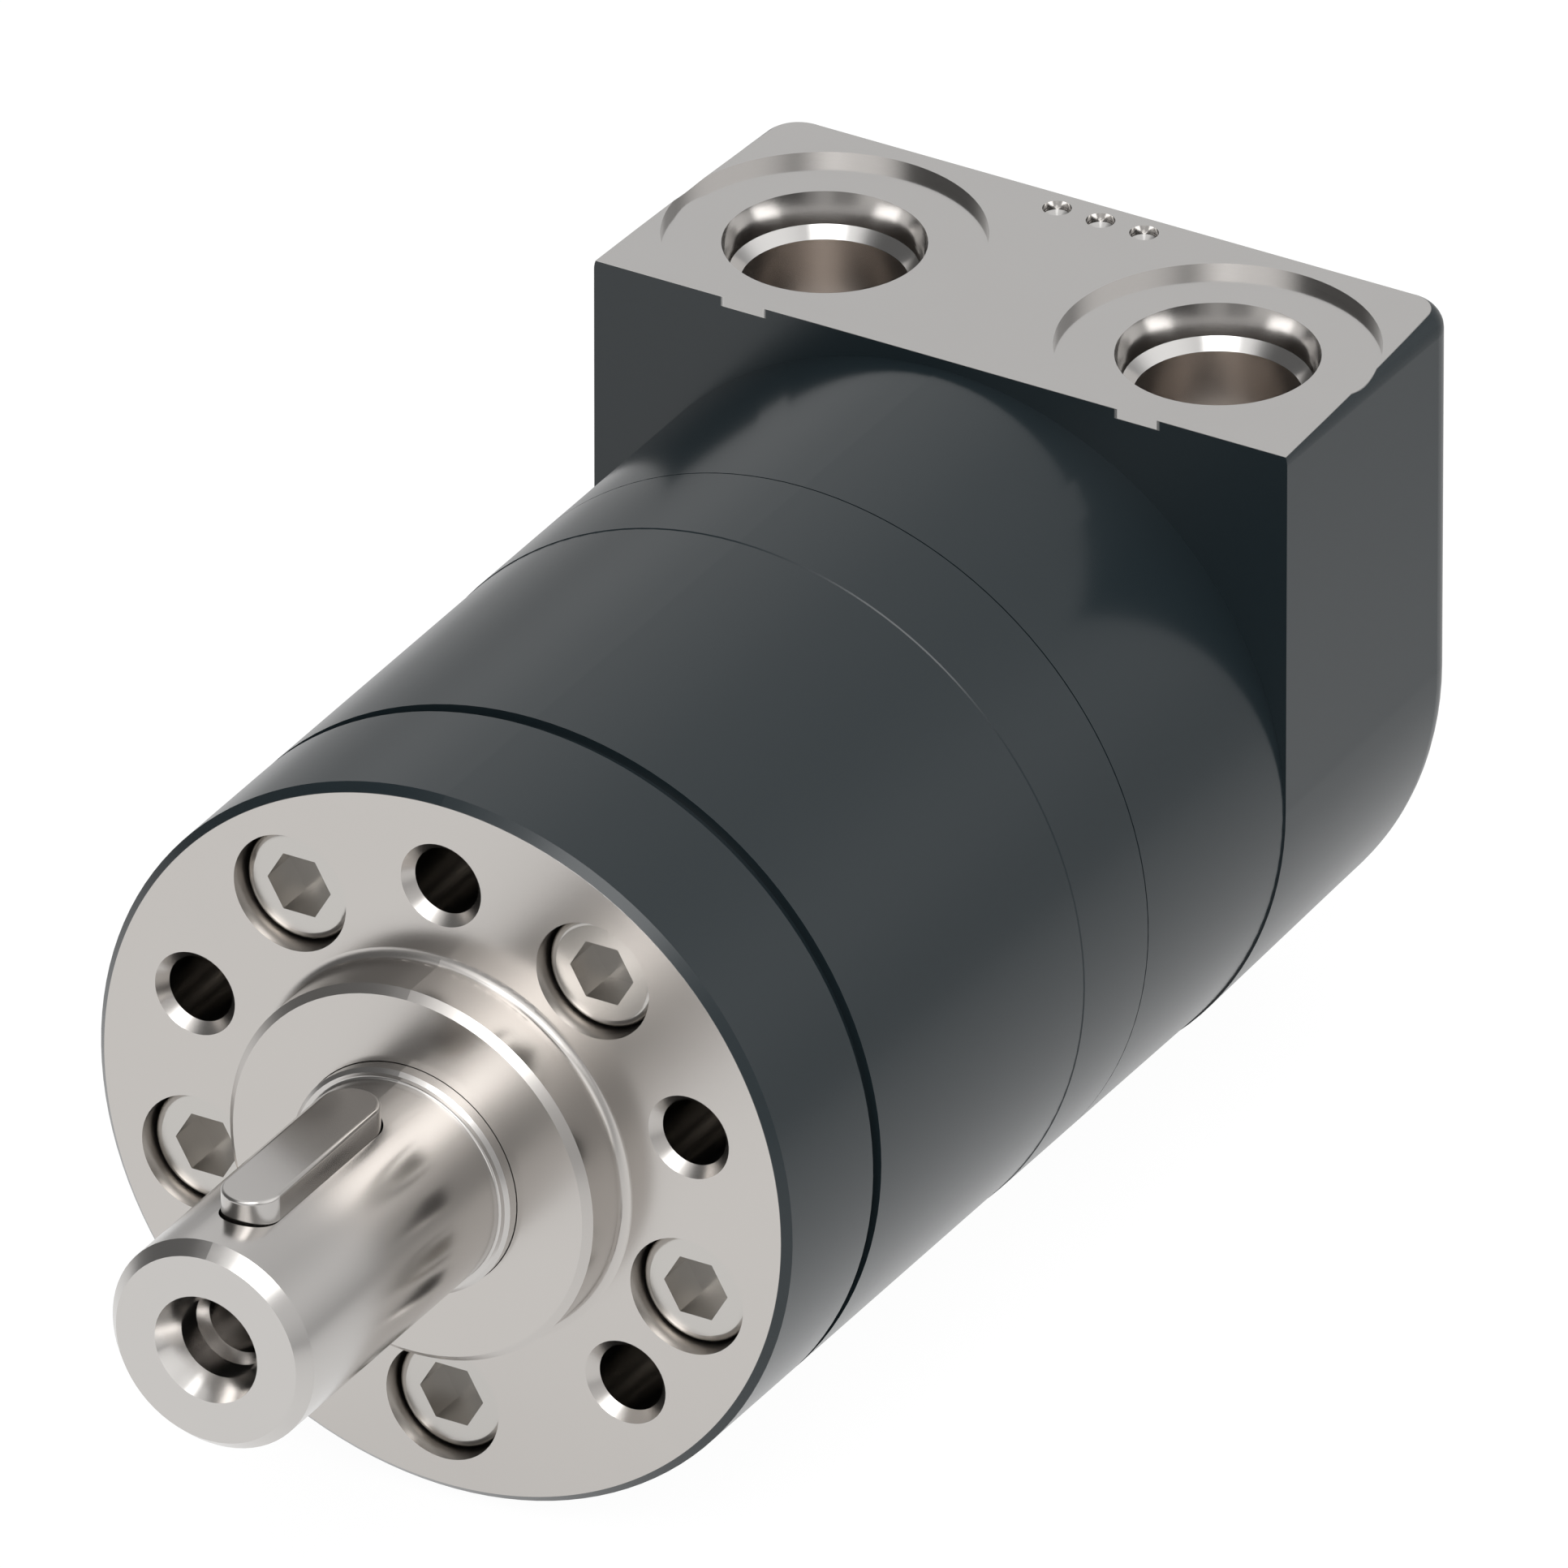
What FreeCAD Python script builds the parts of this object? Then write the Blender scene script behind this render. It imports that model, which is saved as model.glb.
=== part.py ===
import FreeCAD, Part
import math
import os
from FreeCAD import Vector

# A small orbital hydraulic motor: a roller-bearing output shaft, a gerotor gear set
# in its own ring, and a rear housing that holds the valve spool and two oil ports.
# Millimetres. The motor axis is Y, the shaft points to -Y and the ports open to +Z.
# The origin is the centre of the mounting face that the pilot stands out of.

MOTOR_AXIS = Vector(0, 1, 0)
UP = Vector(0, 0, 1)
ORIGIN = Vector(0, 0, 0)

# Fits
running_gap = 0.05
press_gap = 0.01
end_gap = 0.1
screw_hole_gap = 0.3
thread_gap = 0.05
spline_gap = 0.25
lobe_gap = 0.04

# Drills, and how far a cutter or a joined piece runs past the face it starts from
drill_point_half_angle = 59.0
overrun = 1.0

# Sections of the body along the motor axis
cover_length = 12.7
groove_width = 1.25
groove_depth = 0.75
bearing_housing_length = 31.72
gear_width = 9.78
rear_barrel_length = 20.65
block_length = 27.55
body_radius = 30.0
ring_stand_out = 0.06
seam_chamfer = 0.12
rear_web_thickness = 4.42

# Front cover
pilot_radius = 15.75
pilot_length = 5.1
pilot_chamfer = 0.61
pilot_fillet = 0.8
cover_chamfer = 0.65

# Cap screws
screw_count = 5
screw_first_angle = 54.0
screw_circle_radius = 22.3
screw_radius = 3.0
screw_head_radius = 4.71
screw_head_height = 5.2
screw_head_round = 0.74
screw_engagement = 14.0
screw_hole_runout = 2.0
counterbore_radius = 4.875
head_recess = 1.38
socket_across_flats = 4.76
socket_depth = 3.4

# Threaded mounting holes, at their tapping-drill size
mounting_angles = (90.0, 162.0, 18.0, 225.0, 315.0)
mounting_circle_radius = 22.5
mounting_hole_radius = 2.735
mounting_sink_radius = 3.48
mounting_sink_depth = 0.86
mounting_hole_depth = 11.0

# Output shaft
shaft_radius = 8.73
shaft_reach = 34.9
shaft_end_chamfer_length = 1.13
shaft_end_chamfer_height = 0.94
journal_radius = 9.5
journal_stand_out = 1.3
shoulder_chamfer = 0.3
shoulder_round = 0.2
thrust_step_height = 0.8
collar_side_gap = 0.9
collar_length = 2.0
drum_radius = 12.5
drum_bore_radius = 8.0
drum_rear_gap = 0.3

# Thread and centre in the shaft's end
end_sink_radius = 4.44
end_recess_radius = 3.29
end_recess_depth = 4.2
end_thread_radius = 2.735
end_thread_depth = 15.0
centre_cone_half_angle = 30.0

# Parallel key with round ends
key_width = 4.76
key_length = 19.05
key_height = 4.76
key_inset = 4.58
key_edge_round = 0.3
keyway_depth = 2.9
keyway_end_gap = 0.3
keyway_side_gap = 0.02

# Shaft seal and its backing ring
seal_seat_radius = 13.5
cover_lip_length = 2.5
backing_ring_thickness = 1.0
seal_width = 7.0
seal_case_thickness = 1.1
seal_web_thickness = 1.9
seal_lip_reach = 5.5
seal_lip_thickness = 1.1
seal_lip_root_length = 1.5
seal_lip_tail = 0.9
seal_lip_tail_height = 0.5
seal_lip_slope_length = 2.4
seal_lip_slope_height = 0.45
seal_web_taper = 0.2
seal_mouth_length = 1.0
seal_mouth_gap = 0.15
garter_wire_radius = 0.4
garter_sides = 8

# Needle thrust bearing and washers in front of and behind the shaft's collar
thrust_recess_depth = 5.5
thrust_seat_step = 0.4
washer_thickness = 1.0
washer_gap = 0.1
washer_bore_gap = 0.2
thrust_roller_radius = 1.0
thrust_roller_length = 4.0
thrust_roller_count = 12
thrust_cage_thickness = 1.3
thrust_cage_rim_gap = 0.3

# Radial needle bearings, two alike
cup_wall = 1.32
cup_length = 9.0
cup_lip_width = 0.9
cup_lip_height = 0.36
needle_radius = 1.5
needle_length = 7.0
needle_count = 12
needle_gap = 0.04
needle_cage_thickness = 1.7
needle_cage_end_gap = 0.2
pocket_gap = 0.06

# Gerotor: fixed ring with round lobes, rotor with one lobe fewer
ring_lobes = 5
first_lobe_angle = 90.0
lobe_circle_radius = 17.0
lobe_radius = 5.0
eccentricity = 2.0
pocket_clearance = 0.1
rotor_side_gap = 0.03
face_bore_radius = 7.5
arcs_per_lobe = 8
rest_angle = 270.0

# Splined drives
drive_teeth = 12
drive_tip_radius = 6.15
drive_tooth_height = 1.05
drive_tooth_width = 1.3
drive_neck_radius = 4.2
drive_head_length = 4.0
drive_head_chamfer = 0.5
drive_nose_length = 0.7
drive_nose_gap = 0.3
shaft_spline_inset = 7.3
shaft_spline_length = 6.0
cardan_head_inset = 0.55
valve_head_inset = 0.8
valve_head_length = 3.0
valve_neck_radius = 2.8
valve_teeth = 8
valve_tip_radius = 4.05
valve_tooth_height = 0.75
valve_tooth_width = 1.2
valve_rear_head_length = 3.6
spacer_radius = 2.5
spacer_thickness = 0.7
spacer_gap = 0.365

# Rotary valve spool and its bore in the port housing
spool_radius = 7.0
spool_length = 21.0
spool_lead = 0.85
spool_end_gap = 0.4
spool_groove_width = 3.0
spool_groove_depth = 1.1
spool_groove_inset = 3.5
spool_groove_pitch = 13.0
window_length = 4.0
slot_width = 2.3
spool_spline_inset = 6.0
spool_spline_length = 6.0
snap_ring_thickness = 0.9
snap_ring_width = 1.5
snap_ring_bite = 0.8
snap_ring_opening = 3.0
gallery_depth = 2.5
passage_radius = 2.0
passage_inset = 0.6
port_drilling_radius = 3.0

# Port block: a drafted casting, and the skin milled off its top at the front and back
block_side_step = 0.14
block_draft = 1.41
block_skin_front = 1.25
block_skin_back = 0.15
block_edge_round = 2.0
block_corner_round = 3.4
block_top = 30.95

# Oil ports
port_offset = 17.15
port_inset = 12.35
port_face_radius = 12.47
port_face_depth = 0.8
port_mouth_radius = 7.845
port_seat_radius = 7.315
port_seat_depth = 2.55
port_bore_radius = 6.45
port_bore_depth = 15.5

# Three shallow drilled marks behind the ports
mark_spacing = 3.8
mark_inset = 3.1
mark_radius = 1.13
mark_depth = 0.75

# Face seals between the sections
face_seal_wall = 0.7
face_seal_width = 1.7
face_seal_height = 1.2
face_seal_bulge = 0.35
face_seal_side_gap = 0.15

# Stations worked out from the sections
housing_front = cover_length
housing_rear = housing_front + bearing_housing_length
gear_front = housing_rear
gear_rear = gear_front + gear_width
block_front = gear_rear + rear_barrel_length
block_back = block_front + block_length
ring_radius = body_radius + ring_stand_out

# Face seals lie outside the screw holes, with a wall between
screw_hole_radius = screw_radius + screw_hole_gap
face_seal_inner = screw_circle_radius + screw_hole_radius + face_seal_wall + face_seal_side_gap
face_seal_radius = face_seal_inner + face_seal_width / 2

# Key: the stations of its two round ends' centres, with its front end near the shaft's end
key_front_centre = -shaft_reach + key_inset + key_width / 2
key_rear_centre = key_front_centre + key_length - key_width

# Stations of the thrust stack, from the cover's inner face to the first needle cup
thrust_front = cover_length - thrust_recess_depth
thrust_roller_front = thrust_front + washer_thickness + running_gap
collar_washer_front = thrust_roller_front + 2 * thrust_roller_radius + running_gap
collar_front = collar_washer_front + washer_thickness
collar_rear = collar_front + collar_length
rear_washer_front = collar_rear + washer_gap
front_cup_station = rear_washer_front + washer_thickness
rear_cup_rear = housing_rear - rear_web_thickness
rear_cup_station = rear_cup_rear - cup_length
drum_rear = rear_cup_rear - drum_rear_gap

# Needle bearings: where the rollers run, and what surrounds them
needle_circle = drum_radius + needle_gap + needle_radius
race_radius = needle_circle + needle_radius + needle_gap
cup_radius = race_radius + cup_wall
thrust_seat_radius = cup_radius + thrust_seat_step
thrust_step_radius = journal_radius + thrust_step_height
collar_radius = thrust_seat_radius - collar_side_gap
washer_inner_radius = thrust_step_radius + end_gap
washer_outer_radius = thrust_seat_radius - end_gap
thrust_circle = (washer_inner_radius + washer_outer_radius) / 2

# Gear set: centre of the rotor at rest, and the chambers between the ring's lobes
rotor_lobes = ring_lobes - 1
rest_direction = math.radians(rest_angle)
rotor_x = eccentricity * math.cos(rest_direction)
rotor_z = eccentricity * math.sin(rest_direction)
ring_pocket_radius = lobe_circle_radius + 2 * eccentricity - lobe_radius + pocket_clearance
first_chamber_angle = first_lobe_angle - 180.0 / ring_lobes
passage_circle_radius = ring_pocket_radius - passage_radius - passage_inset

# Valve spool: its grooves, and the windows midway between them
spool_front = block_front - spool_lead
spool_rear = spool_front + spool_length
front_groove = spool_front + spool_groove_inset
rear_groove = front_groove + spool_groove_pitch
window_centre = (front_groove + rear_groove) / 2
spool_bore_radius = spool_radius + running_gap
spool_bore_rear = spool_rear + spool_end_gap

# Drives: the cardan's rear head takes what the valve drive and the spacer leave of the rotor
drive_root_radius = drive_tip_radius - drive_tooth_height
valve_root_radius = valve_tip_radius - valve_tooth_height
valve_head_front = gear_rear - valve_head_inset - valve_head_length
spacer_front = valve_head_front - spacer_gap - spacer_thickness
cardan_head_front = gear_front + cardan_head_inset
cardan_head_rear = spacer_front - spacer_gap
cardan_head_length = cardan_head_rear - cardan_head_front

# Points where the drives turn in the shaft, the rotor and the spool
shaft_spline_centre = housing_front + shaft_spline_inset
shaft_pivot = Vector(0, shaft_spline_centre, 0)
cardan_rotor_pivot = Vector(rotor_x, cardan_head_front + cardan_head_length / 2, rotor_z)
valve_rotor_pivot = Vector(rotor_x, valve_head_front + valve_head_length / 2, rotor_z)
spool_spline_centre = spool_front + spool_spline_inset
spool_pivot = Vector(0, spool_spline_centre, 0)

# Port block and ports
block_half_width_front = ring_radius + block_side_step
block_half_width_back = block_half_width_front - block_length * math.tan(math.radians(block_draft))
block_rough_top_front = block_top + block_skin_front
block_rough_top_back = block_top + block_skin_back
port_station = block_front + port_inset
port_face_level = block_top - port_face_depth
mark_station = block_back - mark_inset


def save(name, shape):
    shape.exportStep("parts/" + name + ".step")
    print(name, len(shape.Solids), "solid", round(shape.Volume, 1), "mm3")


def across(along):
    """A unit vector square to the given one."""
    side = UP if abs(along.z) < 0.9 else Vector(1, 0, 0)
    return (side - along * side.dot(along)).normalize()


def turned(outline, base=ORIGIN, along=MOTOR_AXIS):
    """Solid turned about an axis from (distance along it, radius) corners."""
    side = across(along)
    corners = [base + along * a + side * r for a, r in outline]
    face = Part.Face(Part.makePolygon(corners + corners[:1]))
    return face.revolve(base, along, 360)


def tube(front, rear, outer, inner):
    return turned([(front, inner), (front, outer), (rear, outer), (rear, inner)])


def on_circle(radius, degrees, station=0.0):
    angle = math.radians(degrees)
    return Vector(radius * math.cos(angle), station, radius * math.sin(angle))


def drill_point(radius):
    """Length of the cone that a drill leaves at the end of a blind hole."""
    return radius / math.tan(math.radians(drill_point_half_angle))


def rod(radius, front, rear, centre=ORIGIN):
    base = Vector(centre.x, front, centre.z)
    return Part.makeCylinder(radius, rear - front, base, MOTOR_AXIS)


def spun(shape, degrees):
    """A copy turned about the motor axis, from +X towards +Z."""
    copy = shape.copy()
    copy.rotate(ORIGIN, Vector(0, -1, 0), degrees)
    return copy


def ring_of(shape, count, first=0.0):
    return [spun(shape, first + 360.0 * i / count) for i in range(count)]


def screw_angles():
    return [screw_first_angle + 360.0 * i / screw_count for i in range(screw_count)]


def screw_holes(radius, front, rear):
    return [rod(radius, front, rear, on_circle(screw_circle_radius, a)) for a in screw_angles()]


def edges_at(shape, test):
    return [e for e in shape.Edges if test(e)]


def ring_edges(shape, station, radius):
    """Full-circle edges about the motor axis at one station and radius."""
    found = []
    for edge in shape.Edges:
        curve = edge.Curve
        if curve.TypeId != "Part::GeomCircle":
            continue
        if abs(curve.Radius - radius) > 0.005 or abs(curve.Center.y - station) > 0.005:
            continue
        if math.hypot(curve.Center.x, curve.Center.z) < 0.005:
            found.append(edge)
    return found


def face_seal_groove(face_station):
    """Groove for a face seal, cut back into the face at this station."""
    half = face_seal_width / 2 + face_seal_side_gap
    return tube(face_station, face_station + face_seal_height, face_seal_radius + half,
                face_seal_radius - half)


def face_seal(front):
    """A squeezed sealing ring: flat front and back, with sides that bulge to a ridge."""
    inner = face_seal_radius - face_seal_width / 2
    outer = face_seal_radius + face_seal_width / 2
    rear = front + face_seal_height
    middle = (front + rear) / 2
    b = face_seal_bulge
    return turned([(front, inner + b), (front, outer - b), (middle, outer), (rear, outer - b),
                   (rear, inner + b), (middle, inner)])


def splined_bar(teeth, root, tip, tooth_width, front, rear):
    """Round core with straight-sided teeth, along the motor axis."""
    core = rod(root, front, rear)
    blade = Part.makeBox(2 * tip, rear - front, tooth_width, Vector(-tip, front, -tooth_width / 2))
    blades = [spun(blade, 360.0 * i / teeth) for i in range(teeth // 2)]
    toothed = core.multiFuse(blades).common(rod(tip, front, rear))
    return toothed.removeSplitter()


# Housing sections


def front_cover():
    p = pilot_radius
    journal_bore = journal_radius + running_gap
    lip = -pilot_length + cover_lip_length
    body = turned([
        (-pilot_length, journal_bore),
        (-pilot_length, p - pilot_chamfer),
        (-pilot_length + pilot_chamfer, p),
        (0, p),
        (0, body_radius - cover_chamfer),
        (cover_chamfer, body_radius),
        (cover_length, body_radius),
        (cover_length, thrust_seat_radius),
        (thrust_front, thrust_seat_radius),
        (thrust_front, seal_seat_radius),
        (lip, seal_seat_radius),
        (lip, journal_bore),
    ])
    body = body.makeFillet(pilot_fillet, ring_edges(body, 0, p))
    cuts = screw_holes(screw_hole_radius, head_recess, cover_length)
    cuts += screw_holes(counterbore_radius, 0, head_recess + screw_head_height)
    sink = [(0, 0), (0, mounting_sink_radius), (mounting_sink_depth, mounting_hole_radius),
            (mounting_hole_depth, mounting_hole_radius), (mounting_hole_depth, 0)]
    cuts += [turned(sink, on_circle(mounting_circle_radius, a)) for a in mounting_angles]
    return body.cut(cuts)


def bearing_housing():
    body = turned([
        (housing_front, thrust_seat_radius),
        (housing_front, body_radius - groove_depth),
        (housing_front + groove_width, body_radius - groove_depth),
        (housing_front + groove_width, body_radius),
        (housing_rear, body_radius),
        (housing_rear, face_bore_radius),
        (rear_cup_rear, face_bore_radius),
        (rear_cup_rear, cup_radius + press_gap),
        (front_cup_station, cup_radius + press_gap),
        (front_cup_station, thrust_seat_radius),
    ])
    cuts = screw_holes(screw_hole_radius, housing_front, housing_rear)
    cuts.append(face_seal_groove(housing_front))
    cuts.append(face_seal_groove(housing_rear - face_seal_height))
    return body.cut(cuts)


def gear_ring():
    body = turned([
        (gear_front, ring_pocket_radius),
        (gear_front, ring_radius - seam_chamfer),
        (gear_front + seam_chamfer, ring_radius),
        (gear_rear - seam_chamfer, ring_radius),
        (gear_rear, ring_radius - seam_chamfer),
        (gear_rear, ring_pocket_radius),
    ])
    lobe = rod(lobe_radius, gear_front, gear_rear,
               on_circle(lobe_circle_radius, first_lobe_angle))
    body = body.multiFuse(ring_of(lobe, ring_lobes))
    body = body.cut(screw_holes(screw_hole_radius, gear_front, gear_rear))
    return body.removeSplitter()


def block_outline(station, half_width, top):
    """Wire of the port block's section: straight sides and top, round underside."""
    w = half_width
    left_low = Vector(-w, station, 0)
    right_low = Vector(w, station, 0)
    bottom = Vector(0, station, -w)
    left_high = Vector(-w, station, top)
    right_high = Vector(w, station, top)
    return Part.Wire([
        Part.Arc(left_low, bottom, right_low).toShape(),
        Part.makeLine(right_low, right_high),
        Part.makeLine(right_high, left_high),
        Part.makeLine(left_high, left_low),
    ])


def port_block():
    """The cast block with drafted sides, rounded edges and a top milled flat."""
    front = block_outline(block_front, block_half_width_front, block_rough_top_front)
    back = block_outline(block_back, block_half_width_back, block_rough_top_back)
    block = Part.makeLoft([front, back], True, True)

    def round_the_back(edge):
        box = edge.BoundBox
        return box.YMin > block_back - 0.01 and box.ZMin < block_rough_top_back - 0.01

    def round_the_top(edge):
        box = edge.BoundBox
        on_front = box.YMax < block_front + 0.01
        return box.ZMin > block_rough_top_back - 0.01 and not on_front

    block = block.makeFillet(block_corner_round, edges_at(block, round_the_back))
    block = block.makeFillet(block_edge_round, edges_at(block, round_the_top))
    reach = block_half_width_front + overrun
    above = Part.makeBox(2 * reach, block_length + 2 * overrun, block_skin_front + overrun,
                         Vector(-reach, block_front - overrun, block_top))
    return block.cut(above)


def port_cut(side):
    """Spot face, sealing cone and threaded bore of one oil port, cut from above."""
    lead_in = port_seat_radius - port_bore_radius
    down = Vector(0, 0, -1)
    base = Vector(side * port_offset, port_station, port_face_level)
    outline = [
        (-port_face_depth - overrun, 0),
        (-port_face_depth - overrun, port_face_radius),
        (0, port_face_radius),
        (0, port_mouth_radius),
        (port_seat_depth, port_seat_radius),
        (port_seat_depth + lead_in, port_bore_radius),
        (port_bore_depth, port_bore_radius),
        (port_bore_depth + drill_point(port_bore_radius), 0),
    ]
    return turned(outline, base, down)


def port_drilling(side, groove_station):
    """Slanted drilling from the floor of a port to one of the spool's ring galleries."""
    start = Vector(side * port_offset, port_station, port_face_level - port_bore_depth)
    end = Vector(side * (spool_bore_radius + overrun), groove_station, 0)
    run = end - start
    return Part.makeCylinder(port_drilling_radius, run.Length, start, run)


def chamber_angles():
    return [first_chamber_angle + 360.0 * i / ring_lobes for i in range(ring_lobes)]


def gear_passages():
    """Drillings from the gear chambers back to windows in the spool bore."""
    cuts = []
    rear = window_centre + window_length / 2
    for angle in chamber_angles():
        cuts.append(rod(passage_radius, gear_rear, rear, on_circle(passage_circle_radius, angle)))
        window = Part.makeBox(passage_circle_radius, window_length, slot_width,
                              Vector(0, window_centre - window_length / 2, -slot_width / 2))
        cuts.append(spun(window, angle))
    return cuts


def port_housing():
    barrel = rod(ring_radius, gear_rear, block_front + overrun)
    body = barrel.fuse(port_block())
    cuts = [rod(spool_bore_radius, gear_rear, spool_bore_rear)]
    gallery_radius = spool_bore_radius + gallery_depth
    half = spool_groove_width / 2
    for station in (front_groove, rear_groove):
        cuts.append(rod(gallery_radius, station - half, station + half))
    ring_rear = spool_front - running_gap
    ring_front = ring_rear - snap_ring_thickness - 2 * running_gap
    cuts.append(rod(spool_bore_radius + snap_ring_bite, ring_front, ring_rear))
    cuts += gear_passages()
    cuts += [port_cut(-1), port_cut(1)]
    cuts.append(port_drilling(-1, front_groove))
    cuts.append(port_drilling(1, rear_groove))
    thread_rear = gear_rear + screw_engagement + screw_hole_runout
    cuts += screw_holes(screw_radius + thread_gap, gear_rear, thread_rear)
    cuts.append(face_seal_groove(gear_rear))
    for i in (-1, 0, 1):
        spot = Vector(i * mark_spacing, mark_station, block_top)
        outline = [(0, 0), (0, mark_radius), (mark_depth, mark_radius),
                   (mark_depth + drill_point(mark_radius), 0)]
        cuts.append(turned(outline, spot, Vector(0, 0, -1)))
    return body.cut(cuts).removeSplitter()


def cover_screws():
    shank_rear = gear_rear + screw_engagement - head_recess
    screw = turned([
        (0, 0),
        (0, screw_head_radius),
        (screw_head_height, screw_head_radius),
        (screw_head_height, screw_radius),
        (shank_rear, screw_radius),
        (shank_rear, 0),
    ])
    screw = screw.makeFillet(screw_head_round, ring_edges(screw, 0, screw_head_radius))
    corner = socket_across_flats / math.sqrt(3)
    corners = [on_circle(corner, 60 * i) for i in range(6)]
    hexagon = Part.Face(Part.makePolygon(corners + corners[:1]))
    screw = screw.cut(hexagon.extrude(MOTOR_AXIS * socket_depth))
    screws = []
    for angle in screw_angles():
        copy = screw.copy()
        copy.translate(on_circle(screw_circle_radius, angle, head_recess))
        screws.append(copy)
    return Part.makeCompound(screws)


# Output shaft, key and shaft seal


def spline_bore(teeth, root, tip, tooth_width, front, rear):
    """Cutter for a splined bore that gives the matching bar its spline gap all round."""
    g = spline_gap
    return splined_bar(teeth, root + g, tip + g, tooth_width + 2 * g, front, rear)


def keyway_cut():
    r = key_width / 2 + keyway_side_gap
    front = key_front_centre - keyway_end_gap
    rear = key_rear_centre + keyway_end_gap
    floor = shaft_radius - keyway_depth
    height = keyway_depth + key_height
    slot = Part.makeBox(2 * r, rear - front, height, Vector(-r, front, floor))
    ends = [Part.makeCylinder(r, height, Vector(0, y, floor)) for y in (front, rear)]
    return slot.multiFuse(ends).removeSplitter()


def output_shaft():
    cone = math.tan(math.radians(centre_cone_half_angle))
    sink_end = (end_sink_radius - end_recess_radius) / cone
    thread_start = end_recess_depth + (end_recess_radius - end_thread_radius) / cone
    nose_floor = shaft_spline_centre - drive_head_length / 2 - drive_nose_length
    nose_floor -= drive_nose_gap
    spline_front = shaft_spline_centre - shaft_spline_length / 2
    spline_rear = shaft_spline_centre + shaft_spline_length / 2
    shoulder = -pilot_length - journal_stand_out
    end = -shaft_reach
    body = turned([
        (end, 0),
        (end, shaft_radius - shaft_end_chamfer_height),
        (end + shaft_end_chamfer_length, shaft_radius),
        (shoulder, shaft_radius),
        (shoulder, journal_radius - shoulder_chamfer),
        (shoulder + shoulder_chamfer, journal_radius),
        (thrust_front, journal_radius),
        (thrust_front, thrust_step_radius),
        (collar_front, thrust_step_radius),
        (collar_front, collar_radius),
        (collar_rear, collar_radius),
        (collar_rear, drum_radius),
        (drum_rear, drum_radius),
        (drum_rear, drum_bore_radius),
        (spline_rear, drum_bore_radius),
        (spline_rear, 0),
    ])
    body = body.makeFillet(shoulder_round, ring_edges(body, shoulder, shaft_radius))
    centre = turned([
        (end, 0),
        (end, end_sink_radius),
        (end + sink_end, end_recess_radius),
        (end + end_recess_depth, end_recess_radius),
        (end + thread_start, end_thread_radius),
        (end + end_thread_depth, end_thread_radius),
        (end + end_thread_depth + drill_point(end_thread_radius), 0),
    ])
    spline = spline_bore(drive_teeth, drive_root_radius, drive_tip_radius, drive_tooth_width,
                         spline_front, spline_rear)
    relief = rod(drive_tip_radius + spline_gap, nose_floor, spline_front)
    return body.cut([centre, keyway_cut(), spline, relief])


def shaft_key():
    r = key_width / 2
    floor = shaft_radius - keyway_depth
    bar = Part.makeBox(key_width, key_rear_centre - key_front_centre, key_height,
                       Vector(-r, key_front_centre, floor))
    ends = [Part.makeCylinder(r, key_height, Vector(0, y, floor))
            for y in (key_front_centre, key_rear_centre)]
    key = bar.multiFuse(ends).removeSplitter()
    top = floor + key_height
    rim = edges_at(key, lambda e: e.BoundBox.ZMin > top - 0.01 or e.BoundBox.ZMax < floor + 0.01)
    return key.makeFillet(key_edge_round, rim)


def seal_front():
    return -pilot_length + cover_lip_length + backing_ring_thickness


def seal_backing_ring():
    front = -pilot_length + cover_lip_length
    return tube(front, front + backing_ring_thickness, seal_seat_radius - press_gap,
                journal_radius + 2 * running_gap)


def shaft_seal():
    """Pressure seal: outer case, front web and a lip that bears on the journal."""
    f = seal_front()
    outer = seal_seat_radius - press_gap
    case = outer - seal_case_thickness
    lip = journal_radius + running_gap
    top = lip + seal_lip_thickness
    back = f + seal_lip_reach
    return turned([
        (f, outer),
        (f + seal_width, outer),
        (f + seal_width, case),
        (f + seal_web_thickness, case),
        (f + seal_web_thickness, top + seal_web_taper),
        (back - seal_lip_root_length, top),
        (back + seal_lip_tail, top),
        (back + seal_lip_tail, lip + seal_lip_tail_height),
        (back, lip),
        (back - seal_lip_slope_length, lip + seal_lip_slope_height),
        (f + seal_mouth_length, lip + seal_mouth_gap),
        (f, lip + seal_mouth_gap),
    ])


def garter_spring():
    """The spring that hugs the seal's lip, as one ring with a many-sided section."""
    radius = journal_radius + running_gap + seal_lip_thickness + garter_wire_radius
    station = seal_front() + seal_lip_reach
    corners = []
    for i in range(garter_sides):
        angle = math.radians(360.0 * i / garter_sides)
        corners.append((station + garter_wire_radius * math.cos(angle),
                        radius + garter_wire_radius * math.sin(angle)))
    return turned(corners)


# Bearings


def washer(front, inner, outer):
    return tube(front, front + washer_thickness, outer, inner)


def thrust_rollers():
    start = thrust_circle - thrust_roller_length / 2
    middle = thrust_roller_front + thrust_roller_radius
    roller = Part.makeCylinder(thrust_roller_radius, thrust_roller_length,
                               Vector(start, middle, 0), Vector(1, 0, 0))
    return Part.makeCompound(ring_of(roller, thrust_roller_count))


def thrust_cage():
    middle = thrust_roller_front + thrust_roller_radius
    half = thrust_cage_thickness / 2
    disc = tube(middle - half, middle + half, washer_outer_radius - thrust_cage_rim_gap,
                washer_inner_radius + washer_bore_gap)
    length = thrust_roller_length + 2 * pocket_gap
    width = 2 * (thrust_roller_radius + pocket_gap)
    pocket = Part.makeBox(length, thrust_cage_thickness, width,
                          Vector(thrust_circle - length / 2, middle - half, -width / 2))
    return disc.cut(ring_of(pocket, thrust_roller_count))


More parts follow.
